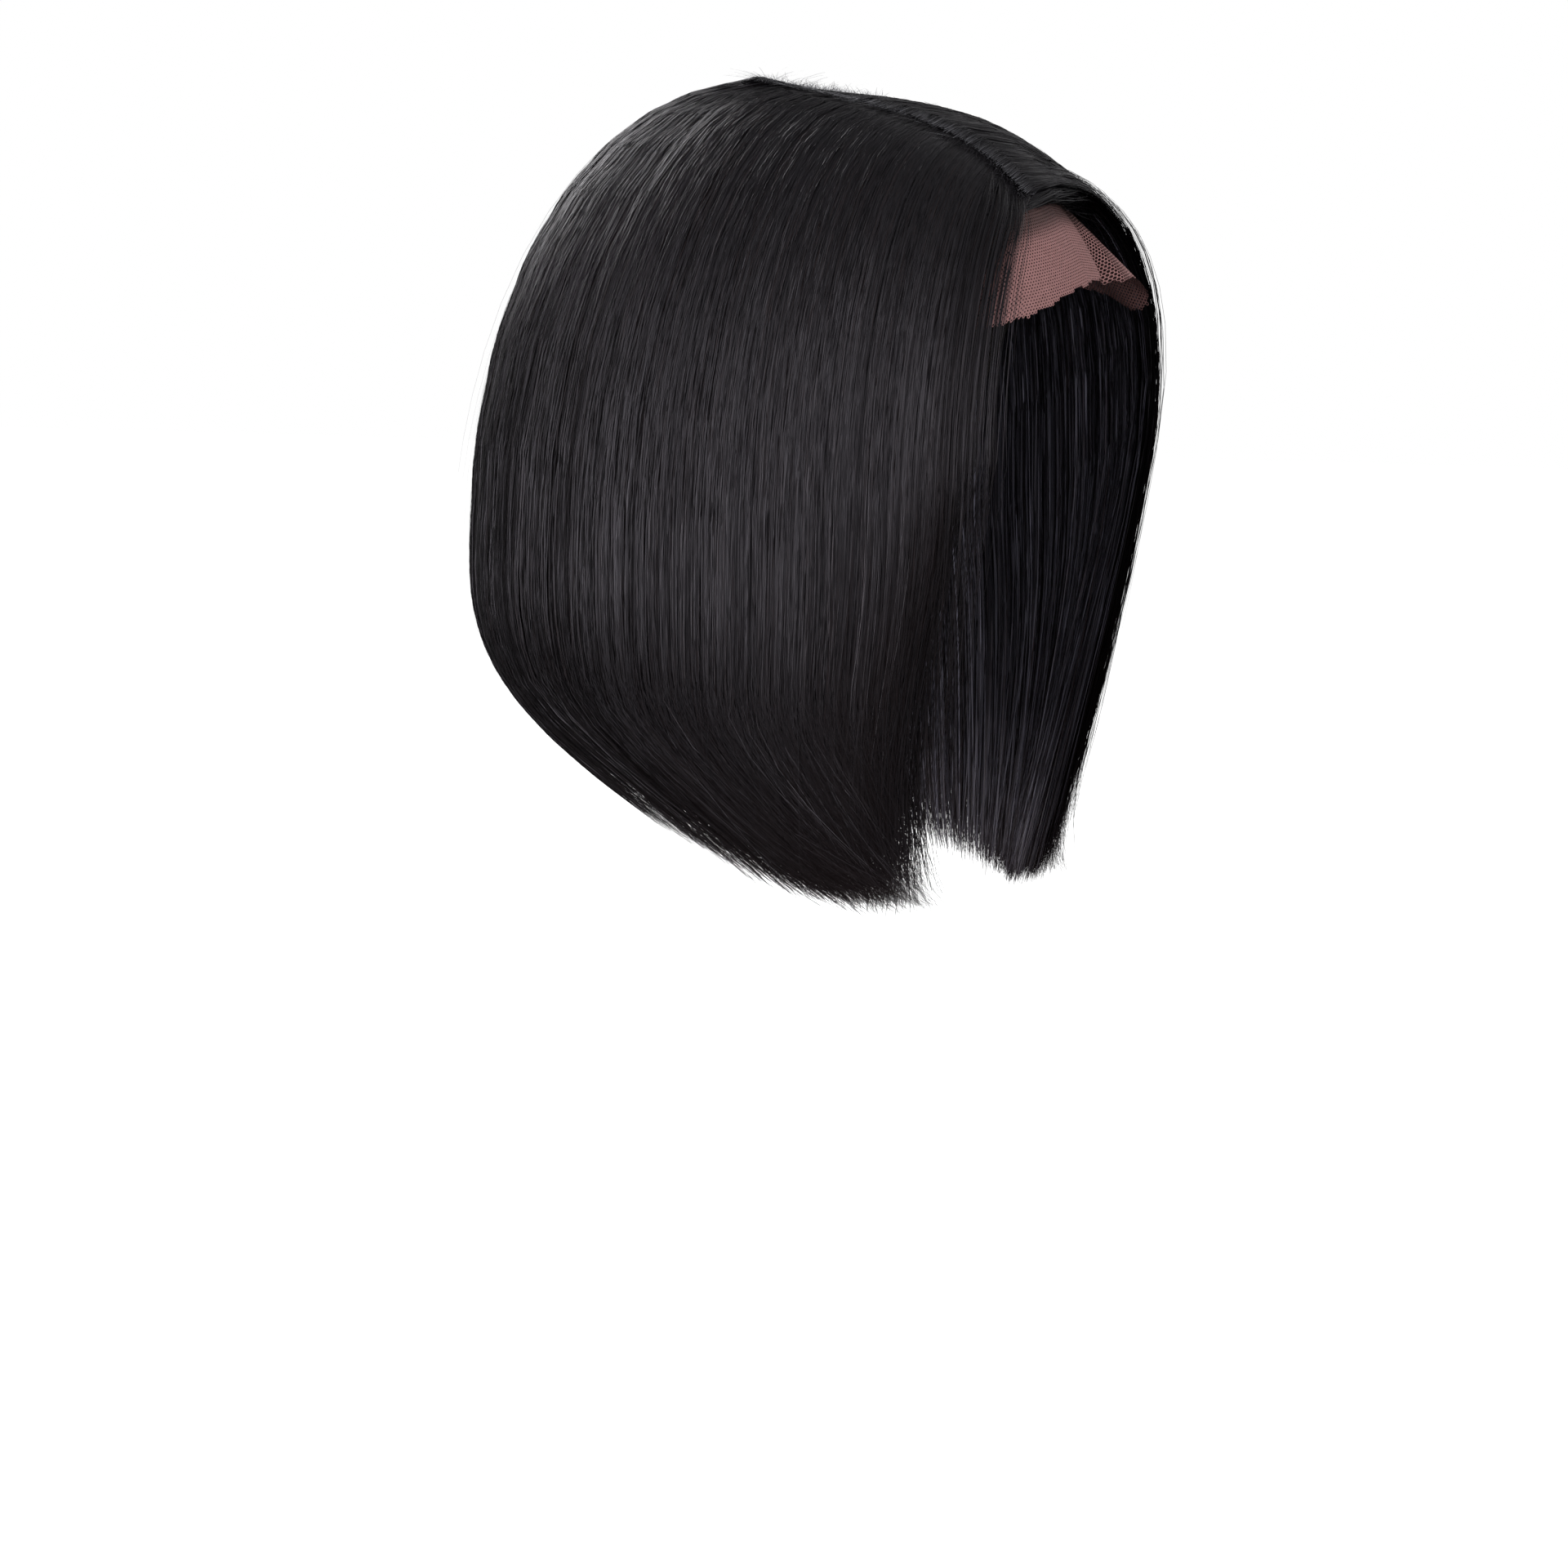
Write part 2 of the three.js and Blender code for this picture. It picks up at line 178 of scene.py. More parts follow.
def hairForm(around, run):
    around, run = np.broadcast_arrays(np.asarray(around, float), np.asarray(run, float))
    read, hand = readFall(around)
    along = np.minimum(read("along"), 1)
    x = parting["side"] - parting["halfWidth"] * np.cos(math.pi * around / 2)
    y = blend(parting["front"], parting["back"], along)
    z = headTop(x, y) + blend(parting["liftFront"], parting["liftBack"], along**3)
    root = np.stack([x, y, z], -1)
    widest = np.stack([hand * read("out", True), read("back"), read("level")], -1)
    end = np.stack([hand * read("hemOut", True), read("hemBack"), read("hem")], -1)
    full = read("full")
    turn = np.clip(run, 0, 1) * math.pi / 2
    outward = np.sin(turn) ** (2 / full)
    downward = 1 - np.maximum(np.cos(turn), 0) ** (2 / full)
    lower = np.maximum(run - 1, 0)
    tucked = lower ** read("tuck")
    upper = np.stack([outward, outward, downward], -1)
    under = np.stack([tucked, tucked, lower], -1)
    points = root + (widest - root) * upper + (end - widest) * under
    points[..., 2] += read("lift") * liftScale * outward * (1 - outward) ** 2
    return points


def towardsCore(points):
    z = np.minimum(points[..., 2], core["top"])
    return unit(np.stack([0 * z, 0 * z + core["back"], z], -1) - points)


def hairDepth(around, run):
    read, _ = readFall(np.asarray(around, float))
    widest = read("depth")
    upper = blend(np.minimum(parting["rootDepth"], widest), widest, np.clip(run, 0, 1))
    lower = blend(widest, np.minimum(parting["hemDepth"], widest), np.clip(run - 1, 0, 1))
    return np.where(run < 1, upper, lower)


# Outward direction of the hair's outer form.
def hairOutward(around, run):
    step = 0.004
    nearRoot = 0.001
    bias = 0.05  # keeps it outward where the form is creased
    sideways = hairForm(np.minimum(around + step, 2), run) - hairForm(np.maximum(around - step, 0), run)
    down = hairForm(around, run + step) - hairForm(around, np.maximum(run - step, nearRoot))
    outward = unit(np.cross(down, sideways))
    away = -towardsCore(hairForm(around, run))
    facing = np.sign((outward * away).sum(-1, keepdims=True))
    return unit(outward * facing + bias * away)


def operator(operation):
    return lambda wire, other: wire.finish.maths(operation, wire, other)


# A socket whose arithmetic adds Math nodes.
class Wire:
    def __init__(self, finish, socket):
        self.finish = finish
        self.socket = socket

    def __rsub__(self, other):
        return self.finish.maths("SUBTRACT", other, self)

    __add__ = __radd__ = operator("ADD")
    __sub__ = operator("SUBTRACT")
    __mul__ = __rmul__ = operator("MULTIPLY")
    __pow__ = operator("POWER")


# The nodes of a material, or of the surround.
class Finish:
    def __init__(self, owner, kind="BSDF_PRINCIPLED"):
        owner.use_nodes = True
        self.owner = owner
        self.tree = owner.node_tree
        self.surface = next(n for n in self.tree.nodes if n.type == kind)

    def plug(self, socket, value):
        if isinstance(value, Wire):
            self.tree.links.new(value.socket, socket)
        else:
            socket.default_value = value

    def node(self, kind, settings=None, sockets=None, output=0):
        made = self.tree.nodes.new(kind)
        for name, value in (settings or {}).items():
            setattr(made, name, value)
        for name, value in (sockets or {}).items():
            self.plug(made.inputs[name], value)
        return Wire(self, made.outputs[output])

    def feed(self, **surface):
        for socket, value in surface.items():
            self.plug(self.surface.inputs[socket.replace("_", " ")], value)

    def maths(self, operation, *values):
        return self.node("ShaderNodeMath", {"operation": operation}, dict(enumerate(values)))

    def read(self, name):
        return self.node("ShaderNodeAttribute", {"attribute_name": name}, output="Fac")

    def mix(self, share, first, second):
        sockets = {"Factor": share, 6: first, 7: second}
        return self.node("ShaderNodeMix", {"data_type": "RGBA"}, sockets, output=2)

    def noise(self, place, detail=2):
        sockets = {"Vector": place, "Scale": 1, "Detail": detail}
        return self.node("ShaderNodeTexNoise", {}, sockets, output="Fac")

    def place(self, x, y, z=0):
        return self.node("ShaderNodeCombineXYZ", {}, {"X": x, "Y": y, "Z": z})


def newFinish(name, **surface):
    finish = Finish(bpy.data.materials.new(name))
    finish.feed(**surface)
    return finish


def smooth01(wire):
    return wire.finish.node("ShaderNodeMapRange", {"interpolation_type": "SMOOTHSTEP"}, {"Value": wire})


mapEdge = 0.02  # margin of the flat maps


def onMap(share):
    return mapEdge + (1 - 2 * mapEdge) * share


def meshFrom(name, points, faces, values, mapPlace=None):
    mesh = bpy.data.meshes.new(name)
    sides = faces.shape[1]
    mesh.vertices.add(len(points))
    mesh.vertices.foreach_set("co", (points * mm).astype(np.float32).ravel())
    mesh.loops.add(faces.size)
    mesh.loops.foreach_set("vertex_index", faces.astype(np.int32).ravel())
    mesh.polygons.add(len(faces))
    mesh.polygons.foreach_set("loop_start", np.arange(0, faces.size, sides, dtype=np.int32))
    mesh.update(calc_edges=True)
    mesh.polygons.foreach_set("use_smooth", np.ones(len(faces), bool))
    for key, value in values.items():
        mesh.attributes.new(key, "FLOAT", "POINT").data.foreach_set("value", value.astype(np.float32))
    if mapPlace is not None:
        layer = mesh.uv_layers.new(name="OFBake")
        layer.uv.foreach_set("vector", mapPlace.reshape(-1, 2)[faces.ravel()].astype(np.float32).ravel())
    mesh.validate()
    piece = bpy.data.objects.new(name, mesh)
    bpy.context.scene.collection.objects.link(piece)
    return piece


# A mesh of quads from points, shaped (pieces, rows, across, 3), and values, (pieces, rows, across).
def gridMesh(name, points, values, mapPlace, wrapped=False):
    index = np.arange(points[..., 0].size).reshape(points.shape[:3])
    left, right = index[:, :, :-1], index[:, :, 1:]
    if wrapped:
        left, right = index, np.roll(index, -1, axis=2)
    quads = np.stack([left[:, :-1], right[:, :-1], right[:, 1:], left[:, 1:]], -1).reshape(-1, 4)
    return meshFrom(name, points.reshape(-1, 3), quads, {k: v.ravel() for k, v in values.items()}, mapPlace)


def settle(piece, finish, node):
    piece.data.materials.append(finish.owner)
    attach(piece, "root")
    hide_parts(node)
    triangles = sum(len(p.vertices) - 2 for p in piece.data.polygons)
    print(f"{piece.name}: {triangles} triangles")


# Each strand is a narrow flat ribbon, tilted at random, and its shade may change along it.
strandForm = {
    "tilt": 0.36,
    "jitter": 0.1,  # of the steps along it
    "crowding": 0.04,  # of the steps at its two ends
    "taperFrom": 0.8,
    "mapWidth": 0.016,
}


def addStrands(name, node, finish, path, outward, width, shade, rootHighlight=0):
    count, rows = path.shape[:2]
    along = unit(np.gradient(path, axis=1))
    across = unit(np.cross(along, outward))
    raised = np.cross(across, along)
    tilt = draw.normal(0, strandForm["tilt"], count)[:, None, None]
    half = (across * np.cos(tilt) + raised * np.sin(tilt)) * width[..., None] / 2
    points = np.stack([path - half, path + half], 2)
    tone = np.clip(np.broadcast_to(shade.reshape(count, -1, 1), (count, rows, 2)), 0, 1)
    share = np.broadcast_to(np.linspace(0, 1, rows)[None, :, None], tone.shape)
    paintedRootHighlight = np.broadcast_to(np.reshape(rootHighlight, (-1, 1, 1)), tone.shape)
    sides = np.array([-0.5, 0.5]) * strandForm["mapWidth"]
    mapPlace = np.stack([onMap(tone) + sides, onMap(share)], -1)
    piece = gridMesh(name, points, {"shade": tone, "along": share, "rootHighlight": paintedRootHighlight}, mapPlace)
    settle(piece, finish, node)


# Steps along each strand, closer together at its two ends, or towards the root.
def strandSteps(begin, end, rows, rootward=1):
    jitter = draw.uniform(-strandForm["jitter"], strandForm["jitter"], (len(begin), 1))
    share = (np.arange(rows) + jitter) / (rows - 1)
    share[:, 0], share[:, -1] = 0, 1
    share = (share - strandForm["crowding"] * np.sin(math.tau * share)) ** rootward
    return begin[:, None] + (end - begin)[:, None] * share


# Widths along the strands, which taper to their tips.
def strandWidth(look, share):
    taper = 1 - look["taper"] * ease(strandForm["taperFrom"], 1, share)
    return look["width"] * draw.uniform(*look["widthRange"], len(share))[:, None] * taper


def ripples(run, slow, fast):
    count = len(run)
    return np.sin(run * draw.uniform(slow, fast, count)[:, None] + draw.uniform(0, 6.3, count)[:, None])


# Black hair: nearly black, some of it brown, a little browner towards the tips. Some roots have a
# pale painted highlight.
strandLook = {
    "dark": (0.0026, 0.0024, 0.003, 1),
    "light": (0.024, 0.0215, 0.026, 1),
    "brown": (0.03, 0.014, 0.011, 1),
    "brownAcross": 25,
    "brownFrom": 0.55,
    "brownEdge": 5,
    "brownShare": 0.6,
    "tipShare": 0.5,
    "tipPower": 4,
    # pale painted highlight near the roots, with how far it reaches and its patchy mask
    "root": (0.6, 0.6, 0.66, 1),
    "rootHighlightEnd": 15,
    "rootHighlightReach": 1.5,
    "rootHighlightFrom": 0.42,
    "rootHighlightEdge": 6,
    "mottleAcross": 60,
    "mottleAlong": 7,
    "mottleShare": 0.5,
    "shine": 0.5,
    "shineTint": (0.95, 0.89, 1, 1),
    "roughness": 0.28,
    "roughSpread": 0.26,
}
# Lining strands, coloured far lighter than the hair as painted light, where little lamp light reaches
liningPaintedLightLook = dict(strandLook, light=(0.36, 0.35, 0.44, 1), brown=(0.1, 0.062, 0.058, 1))
massLook = dict(strandLook, light=(0.012, 0.011, 0.013, 1), shine=0.2, roughness=0.5)
# Parting hairs, coloured pale as a painted highlight
partingHighlightLook = dict(strandLook, dark=(0.05, 0.05, 0.056, 1), light=(0.85, 0.86, 0.92, 1))


def hairFinish(name, look):
    finish = newFinish(name, Specular_IOR_Level=look["shine"], Specular_Tint=look["shineTint"])
    shade, along = finish.read("shade"), finish.read("along")
    mottle = finish.noise(finish.place(shade * look["mottleAcross"], along * look["mottleAlong"]), detail=1)
    patches = finish.noise(finish.place(shade * look["brownAcross"], along, 4))
    brown = smooth01((patches - look["brownFrom"]) * look["brownEdge"])
    tone = finish.mix(shade**2, look["dark"], look["light"])
    tone = finish.mix(brown * look["brownShare"], tone, look["brown"])
    tone = finish.mix(along ** look["tipPower"] * look["tipShare"], tone, look["brown"])
    # Pale painted highlight near the roots of some strands, as much as their attribute gives
    root = 1 - smooth01(along * look["rootHighlightEnd"] * (look["rootHighlightReach"] - shade))
    root = root * smooth01((mottle - look["rootHighlightFrom"]) * look["rootHighlightEdge"])
    tone = finish.mix(root * finish.read("rootHighlight"), tone, look["root"])
    finish.feed(Base_Color=finish.mix(mottle * look["mottleShare"], tone, look["dark"]))
    finish.feed(Roughness=look["roughness"] + mottle * look["roughSpread"])
    return finish


strandFinish = hairFinish("hair_strand", strandLook)
partingHighlightFinish = hairFinish("hair_root_painted_highlight", partingHighlightLook)
liningPaintedLightFinish = hairFinish("hair_lining_painted_light", liningPaintedLightLook)
massFinish = hairFinish("hair_mass", massLook)
print("hair finishes done")

# Sections of hair, as the solids have them, with the strands that each gets. Rootward over 1 sets points
# of a strand closer together at its root. A lean under 1 sets more strands towards a section's far end.
hairSections = {
    "hair_right": {"from": 0.0, "to": 0.62, "outer": 5400, "inner": 1300, "rootward": 1, "lean": 1},
    "hair_back": {"from": 0.62, "to": 1.38, "outer": 5400, "inner": 1500, "rootward": 1.1, "lean": 0.75},
    "hair_left": {"from": 1.38, "to": 2.0, "outer": 5400, "inner": 1900, "rootward": 1.35, "lean": 1},
}


def spread(section, count):
    share = ((np.arange(count) + draw.random(count)) / count) ** section["lean"]
    return section["from"] + (section["to"] - section["from"]) * share


# Closed body under the strands: it keeps light from passing through the hair. It stops short of the tips
# and of the front edges.
hairMass = {
    "rows": 44,
    "columns": 56,
    "end": 1.8,
    "run": [0, 0.5, 1.0, 1.2, 1.4, 1.6, 1.8, 2.0],
    "rightEdge": [0.05, 0.17, 0.2, 0.2, 0.21, 0.26, 0.34, 0.38],  # from the edge, at those runs
    "leftEdge": [0.04, 0.05, 0.07, 0.08, 0.08, 0.08, 0.09, 0.1],
    "inset": 3.0,  # under the outer strands
    "insetShare": 0.45,  # or this share of the hair's depth, if less
    "innerInset": 1.5,
    "thinnest": 1,
    "outerGap": 2.2,
    "innerGap": 1.7,
}


def buildMass(name, section):
    look = hairMass
    run = np.linspace(0.0, look["end"], look["rows"])[:, None]
    low = np.maximum(section["from"], np.interp(run, look["run"], look["rightEdge"]))
    high = np.minimum(section["to"], 2 - np.interp(run, look["run"], look["leftEdge"]))
    around = blend(low, high, np.linspace(0, 1, look["columns"])[None, :])
    form = hairForm(around, run)
    depth = hairDepth(around, np.broadcast_to(run, form.shape[:2]))
    inward = towardsCore(form)
    near = np.minimum(look["inset"], depth * look["insetShare"])
    far = np.maximum(depth - look["innerInset"], near + look["thinnest"])
    outer = clearOfHead(form + inward * near[..., None], look["outerGap"])
    inner = clearOfHead(form + inward * far[..., None], look["innerGap"])
    points = np.concatenate([outer, inner[:, ::-1]], 1)[None]
    rows, ring = points.shape[1:3]
    tone = np.broadcast_to(draw.random(ring)[None, None, :], points.shape[:3])
    share = np.broadcast_to(np.linspace(0, 1, rows)[None, :, None], points.shape[:3])
    mapPlace = np.stack([onMap(np.broadcast_to(np.linspace(0, 1, ring), tone.shape)), share], -1)
    piece = gridMesh(f"{name}_mass", points, {"shade": tone, "along": share}, mapPlace, wrapped=True)
    closeEnds(piece, rows, ring)
    settle(piece, massFinish, name)


# The first and last rings are closed with strips between their outer and inner sides.
def closeEnds(piece, rows, ring):
    edit = bmesh.new()
    edit.from_mesh(piece.data)
    edit.verts.ensure_lookup_table()
    for start in (0, (rows - 1) * ring):
        for column in range(ring // 2 - 1):
            corners = [column, column + 1, ring - 2 - column, ring - 1 - column]
            edit.faces.new([edit.verts[start + corner] for corner in corners])
    bmesh.ops.recalc_face_normals(edit, faces=edit.faces)
    edit.to_mesh(piece.data)
    edit.free()


# How far strands are combed forward as they leave the parting, how far those in front thin out and fall
# back lower down, and how far the ends curl forward along the hem.
rightFlow = {"comb": 0, "thin": 0.055, "retreat": 0.1, "fromRun": 0.95, "toRun": 1.85, "sweep": 0.7}
leftFlow = {"comb": 0.6, "thin": 0.06, "retreat": 0.2, "fromRun": 1.05, "toRun": 2.15, "sweep": 0.05}
hairFlow = {
    "combWithin": 0.8,
    "combEnd": 0.5,
    "combBy": 0.18,
    "thinRun": (0.02, 0.3),
    "ahead": 0.1,  # share of right strands that stay in front
    "aheadBack": (0, 0.8),  # how far those fall back
    "usualBack": (0.8, 1.7),  # and the others
    "retreatWithin": 0.22,
    "stray": 0.28,  # share of strands that retreat less
    "strayStay": (0, 0.75),
    "usualStay": (0.75, 1.12),
    "sweepWithin": 0.45,
    "sweepFrom": 1.4,
    "sweepOver": 0.8,
    "sweepMost": 1.1,
    "sweepStop": 0.3,  # ends stop up to this far from the front edge
    "slowFrom": 1.6,  # past this run the ends bunch up
    "slowOver": 0.5,
}


def stayBack(count):
    isStray = draw.random(count) < hairFlow["stray"]
    strayStay = draw.uniform(*hairFlow["strayStay"], count)
    return np.where(isStray, strayStay, draw.uniform(*hairFlow["usualStay"], count))


# Where each strand lies on the form, point by point. Reach goes on past 2 where an end curls along the hem.
def strandFlow(around, reach, stay, curl):
    look = hairFlow
    isLeft = (around > 1)[:, None]
    flow = {key: np.where(isLeft, leftFlow[key], rightFlow[key]) for key in rightFlow}
    edge = np.where(isLeft, 2 - around[:, None], around[:, None])
    comb = flow["comb"] * (1 - np.exp(-edge / look["combWithin"]))
    comb = comb * ease(0, look["combEnd"], 1 - edge)
    thin = flow["thin"] * np.exp(-edge / flow["thin"]) * ease(*look["thinRun"], reach)
    retreat = flow["retreat"] * np.exp(-edge / look["retreatWithin"])
    retreat = retreat * ease(flow["fromRun"], flow["toRun"], reach)
    isAhead = draw.random(len(around)) < look["ahead"]
    aheadBack = draw.uniform(*look["aheadBack"], len(around))
    back = np.where(isAhead, aheadBack, draw.uniform(*look["usualBack"], len(around)))
    thin = thin * np.where(isLeft, stay[:, None], back[:, None])
    edge = edge - comb * ease(0, look["combBy"], reach) + thin + retreat * stay[:, None]
    sweep = flow["sweep"] * curl[:, None] * ease(0, look["sweepWithin"], 1 - edge)
    late = np.clip((reach - look["sweepFrom"]) / look["sweepOver"], 0, look["sweepMost"])
    stop = np.minimum(look["sweepStop"] * draw.random(len(around))[:, None], edge)
    room = np.maximum(edge - stop, 1e-4)
    edge = edge - room * (1 - np.exp(-sweep * late**2 / room))
    past = reach - look["slowFrom"]
    slowed = look["slowFrom"] + look["slowOver"] * np.tanh(past / look["slowOver"])
    return np.where(isLeft, 2 - edge, edge), np.where(past < 0, reach, slowed)


# Roots cross the parting line a little, so that no gap shows there. Those of the left strands get a pale
# painted highlight.
hairRoots = {
    "within": 0.07,  # run that counts as root
    "rise": 1.4,
    "cross": 2.6,
    # shares of the pale painted highlight on the roots of left strands
    "rootHighlight": 0.36,
    "rootHighlightBack": 0.65,  # at the back of the parting
    "backAround": (1.62, 1.54),
    "leftAround": (0.95, 1.05),
}


def sinkRoots(path, run):
    sink = 1 - ease(0, hairRoots["within"], run)
    root = parting["side"] + draw.normal(0, hairRoots["cross"], len(path))[:, None]
    path[..., 0] += (root - path[..., 0]) * sink
    path[..., 2] += hairRoots["rise"] * draw.random(len(path))[:, None] * sink
    return path


# How much pale painted highlight the roots of each strand get
def rootHighlightShare(around):
    rootHighlight = blend(hairRoots["rootHighlight"], hairRoots["rootHighlightBack"], ease(*hairRoots["backAround"], around))
    return rootHighlight * ease(*hairRoots["leftAround"], around)


# The last stretch of the right strands, and of a few left ones, bends forward, past the edge of the form.
tipFlick = {
    "right": 16,
    "rightAround": (0.8, 0.2),
    "left": 14,
    "leftAround": (1.6, 1.9),
    "leftPower": 5,
    "from": 1.55,
    "over": 0.6,
    "most": 1.2,
    "rise": 0.25,
}


def flickTips(path, place, reach):
    look = tipFlick
    share = draw.random(len(path))[:, None]
    right = look["right"] * share * ease(*look["rightAround"], place)
    left = look["left"] * share ** look["leftPower"] * ease(*look["leftAround"], place)
    bend = np.clip((reach - look["from"]) / look["over"], 0, look["most"]) ** 2
    bend = (right + left) * bend
    path[..., 1] -= bend
    path[..., 2] += look["rise"] * bend
    return path


# Ends vary and some are much shorter. At the right front most strands end higher up, so that the corner is
# thin, and the left front corner is cut back.
hairEnds = {
    "longest": 2.2,
    "spread": 0.05,
    "ragged": 0.2,
    "raggedFront": 0.4,
    "frontWithin": 0.6,
    "thinShare": 0.72,
    "thinEnd": 1.05,
    "thinSlope": 3,
    "thinSpread": 0.12,
    "leftCut": 0.35,
    "leftCutLeast": 0.5,
    "leftCutWithin": 0.07,
}


def strandEnds(around):
    look = hairEnds
    count = len(around)
    ragged = np.where(around < look["frontWithin"], look["raggedFront"], look["ragged"])
    uneven = draw.normal(0, look["spread"], count) - ragged * draw.random(count) ** 2
    cut = look["leftCut"] * np.exp((around - 2) / look["leftCutWithin"])
    end = look["longest"] + uneven - cut * draw.uniform(look["leftCutLeast"], 1, count)
    thinned = look["thinEnd"] + look["thinSlope"] * around
    thinned = thinned + draw.normal(0, look["thinSpread"], count)
    isThin = draw.random(count) < look["thinShare"]
    return np.where(isThin, np.minimum(end, thinned), end)


# The strands of a section, laid out on its form.
def layStrands(section, count, look, rootward):
    around = spread(section, count)
    end = strandEnds(around)
    reach = strandSteps(np.full(count, look["start"]), end, look["rows"], rootward)
    place, run = strandFlow(around, reach, stayBack(count), draw.uniform(*look["curl"], count))
    return around, reach, reach / end[:, None], place, run


# Streaks that fade in and out along the strands, from about -1 to 1.
streakForm = {
    "fineness": 0.3,
    "fadePace": 1.4,
    "fadeStep": 0.5,
    "fadeShare": 0.35,
    "wander": 9,
    "wanderPace": 0.31,
    "shift": 1.3,
}


def streaks(around, run, pitches):
    look = streakForm
    total = 0
    fadeShare = look["fadeShare"]
    weights = (np.array(pitches) / pitches[-1]) ** look["fineness"]
    for step, (pitch, weight) in enumerate(zip(pitches, weights)):
        wander = look["wander"] * np.sin(around * pitch * look["wanderPace"] + step)
        fade = np.sin(run * (look["fadePace"] + look["fadeStep"] * step) + wander)
        wave = np.sin(around * pitch + look["shift"] * step)
        total = total + weight * wave * (1 - fadeShare + fadeShare * fade)
    return total / np.linalg.norm(weights)


# Strands of one section on its outer form, gathered into locks that draw together towards the tips.
outerStrands = {
    "rows": 19,
    "start": 0.002,
    "curl": (0.5, 1.15),
    "lockPitch": 0.02,
    "lockShift": 0.3,
    "lockWander": 37,
    "lockScatter": 12.9,
    "gather": 0.25,  # how far strands of a lock draw together
    "gatherRun": (0.9, 2.0),
    "drift": 0.004,
    "layer": 1.9,  # depth over which they are spread
    "layerPower": 1.5,
    "layerShare": 0.6,  # at most this share of the hair's depth
    "layerRun": (-0.06, 0.25),
    "relief": 0.15,
    "reliefPitches": (61, 149),
    "wave": 0.35,
    "wavePace": (2, 5),
    "waveRun": (0.1, 1.2),
    "gap": 2.0,
    "width": 0.21,
    "widthRange": (0.6, 1.25),
    "taper": 0.8,
    "shade": 0.48,
    "shadeSpread": 0.45,
    "shadeStreak": 0.12,
    "shadePitches": (61, 149, 373, 853, 1747),
}


# Middle of the lock that each strand belongs to.
def lockMiddles(around):
    look = outerStrands
    pitch, shift = look["lockPitch"], look["lockShift"]
    lock = np.floor(around / pitch + shift * np.sin(around * look["lockWander"]))
    return (lock + 0.5) * pitch + shift * pitch * np.sin(lock * look["lockScatter"])


def buildOuter(name, section):
    look = outerStrands
    count = section["outer"]
    around, reach, share, place, run = layStrands(section, count, look, section["rootward"])
    drift = draw.normal(0, look["drift"], count)[:, None] * run
    pull = look["gather"] * draw.random(count)[:, None] * ease(*look["gatherRun"], run)
    place = np.clip(place + drift + (lockMiddles(around) - around)[:, None] * pull, 0, 2)
    form = hairForm(place, run)
    outward = hairOutward(place, run)
    depth = (look["layer"] * draw.random(count) ** look["layerPower"])[:, None]
    depth = depth - look["relief"] * streaks(place, run, look["reliefPitches"])
    depth = np.minimum(depth, hairDepth(place, run) * look["layerShare"])
    depth = depth * ease(*look["layerRun"], run)
    sideways = unit(np.cross(unit(np.gradient(form, axis=1)), outward))
    wave = ripples(run, *look["wavePace"]) * look["wave"] * ease(*look["waveRun"], run)
    path = form - outward * depth[..., None] + sideways * wave[..., None]
    path = sinkRoots(clearOfHead(path, look["gap"]), run)
    path = flickTips(path, place, reach)
    width = strandWidth(look, share)
    shade = look["shade"] + look["shadeStreak"] * streaks(around[:, None], run, look["shadePitches"])
    shade = shade + look["shadeSpread"] * (draw.random(count)[:, None] - 0.5)
    rootHighlight = rootHighlightShare(around)
    addStrands(f"{name}_strands", name, strandFinish, path, outward, width, shade, rootHighlight)


# Strands on the inner side, which shows through the front opening and from below. Their colour is far
# lighter than the hair's, as painted light where little lamp light reaches inside.
innerStrands = {
    "rows": 13,
    "start": 0.35,
    "curl": (0.5, 1),
    "drift": 0.008,
    "inset": 1.2,
    "layer": 1.6,
    "gap": 1.6,
    "width": 0.5,
    "widthRange": (0.7, 1.3),
    "taper": 0.8,
    # raises their shade too, as part of the painted light
    "shadePower": 0.8,
}


def buildInner(name, section):
    look = innerStrands
    count = section["inner"]
    _, _, share, place, run = layStrands(section, count, look, 1)
    place = np.clip(place + draw.normal(0, look["drift"], count)[:, None] * run, 0, 2)
    form = hairForm(place, run)
    inward = towardsCore(form)
    depth = hairDepth(place, run) - look["inset"] + look["layer"] * draw.random(count)[:, None]
    path = clearOfHead(form + inward * depth[..., None], look["gap"])
    width = strandWidth(look, share)
    shade = draw.random(count) ** look["shadePower"]
    addStrands(f"{name}_lining", name, liningPaintedLightFinish, path, inward, width, shade)


for sectionName, section in hairSections.items():
    buildMass(sectionName, section)
    buildOuter(sectionName, section)
    buildInner(sectionName, section)
print("hair sections done")

# Thin hairs ahead of the two front edges, where the curtain lets light through.
edgeHairs = {
    "hair_right": {"edge": 0.0, "count": 120, "ahead": 11, "within": 0.1, "shorter": 1.3, "retreat": 0},
    "hair_left": {"edge": 2.0, "count": 170, "ahead": 7, "within": 0.05, "shorter": 0.5, "retreat": 5},
}
edgeShape = {
    "start": 0.004,
    "longest": 1.96,
    "shorterPower": 1.3,
    "aheadPower": 1.7,
    "swing": [(0.7, 0.02, 0.3), (0.3, 0.45, 1.5), (-0.35, 1.6, 2.0)],  # shares of the way, and their runs
    "retreatRun": (0.4, 1.2),
    "layer": 1.5,
    "gap": 2.0,
    "width": 0.22,
    "widthRange": (0.6, 1.2),
    "taper": 0.7,
}
frontSway = {"size": 1.2, "pace": (2, 6), "run": (0.2, 1.4)}


def sway(run):
    return frontSway["size"] * ripples(run, *frontSway["pace"]) * ease(*frontSway["run"], run)


